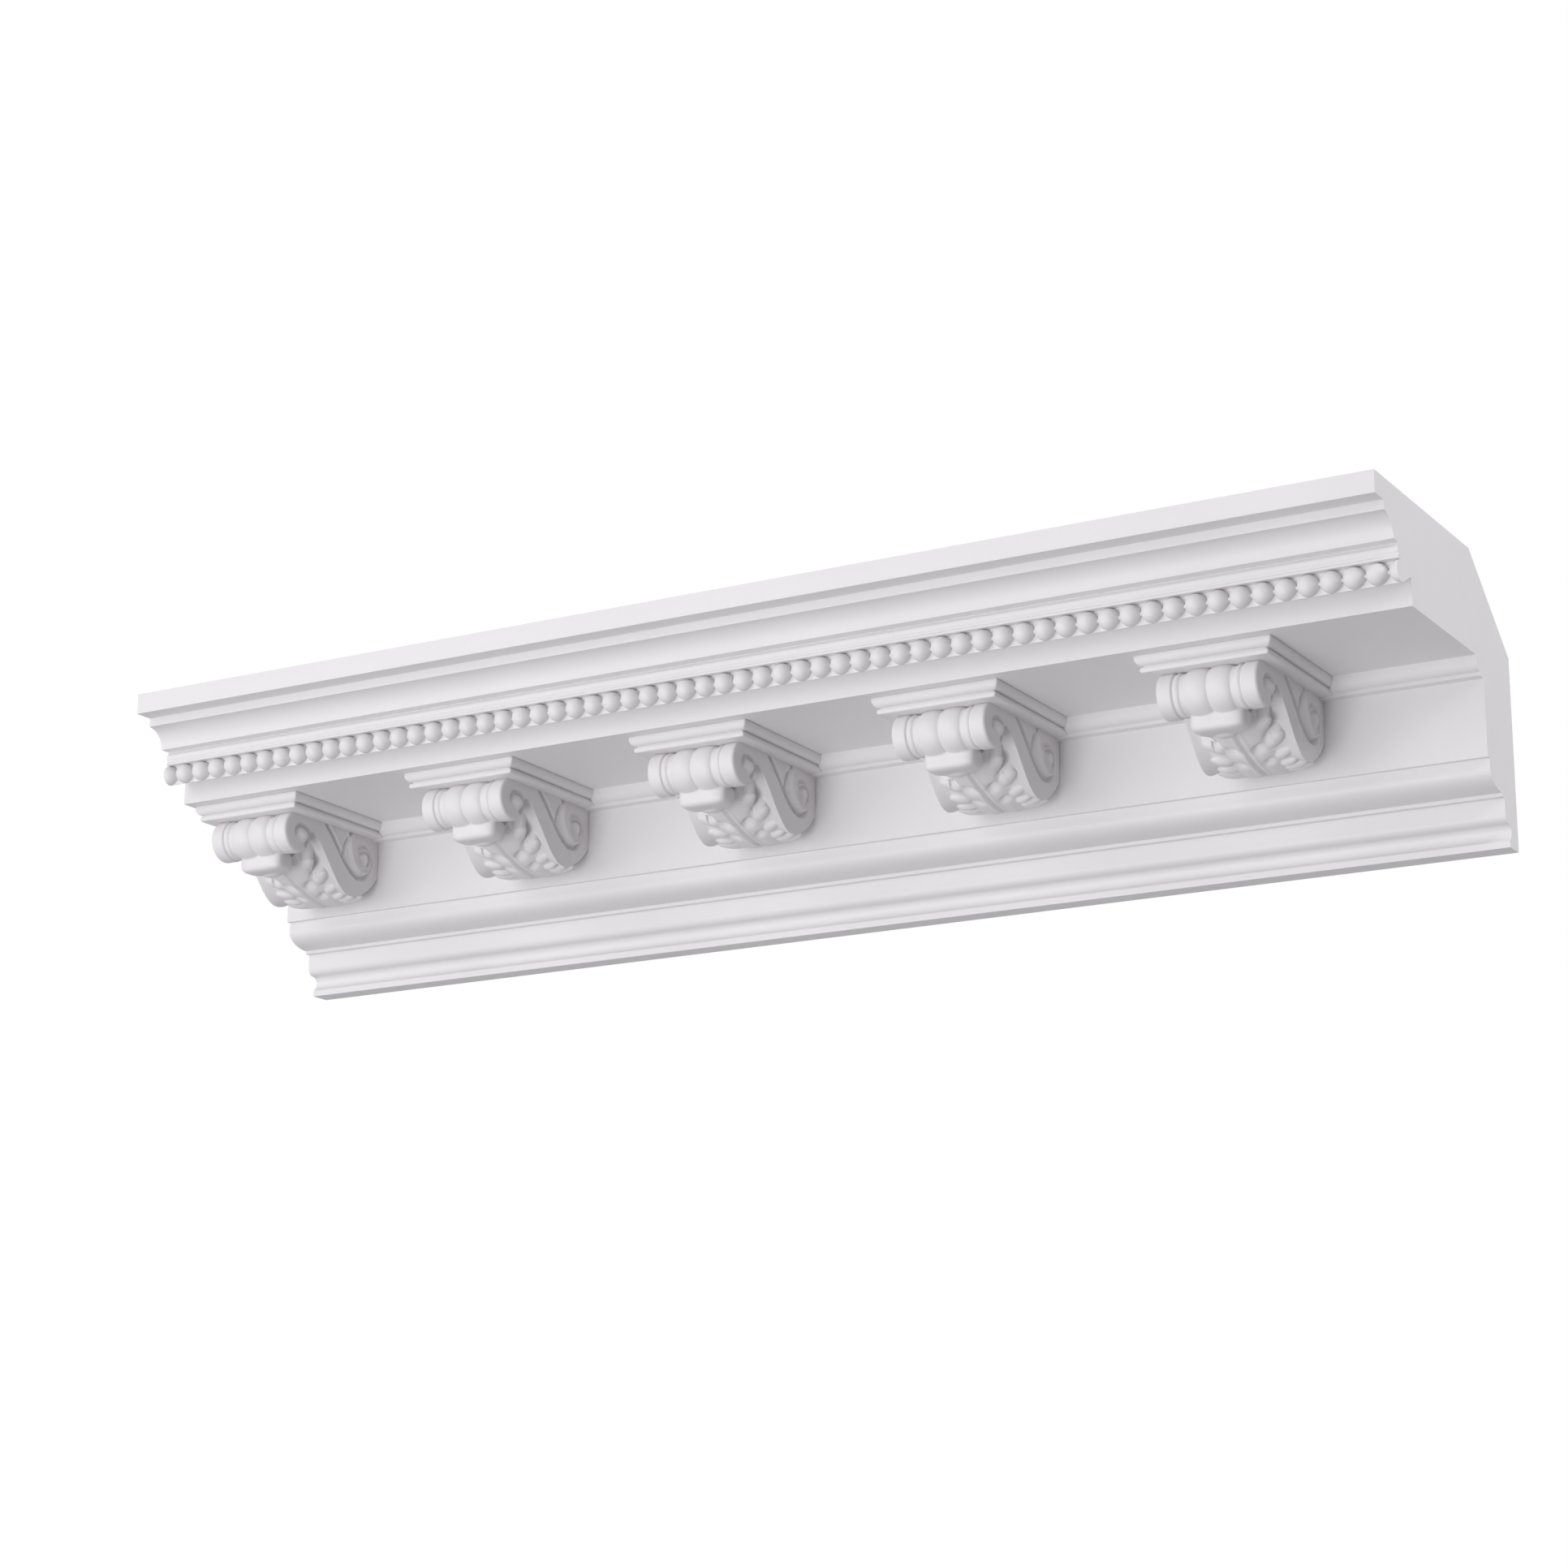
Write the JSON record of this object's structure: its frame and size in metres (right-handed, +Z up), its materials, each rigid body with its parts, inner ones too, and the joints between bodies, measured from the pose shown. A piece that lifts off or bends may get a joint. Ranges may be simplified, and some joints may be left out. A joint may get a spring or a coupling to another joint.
{
  "type": "modillion cornice",
  "caption": "Length of moulded cornice with a bead row under the cove and scrolled leaf brackets below the soffit, cut square at both ends.",
  "frame": {"origin": "centre of the flat face that lies on the wall, half-way along the length", "axes": "+X along the length, +Y into the wall, so the room is on the -Y side, +Z up to the ceiling"},
  "size_m": [1.0288, 0.2545, 0.2001],
  "materials": {
    "moulded_white": "satin"
  },
  "bodies": {
    "root": {"cornice": "moulded_white"}
  },
  "joints": []
}
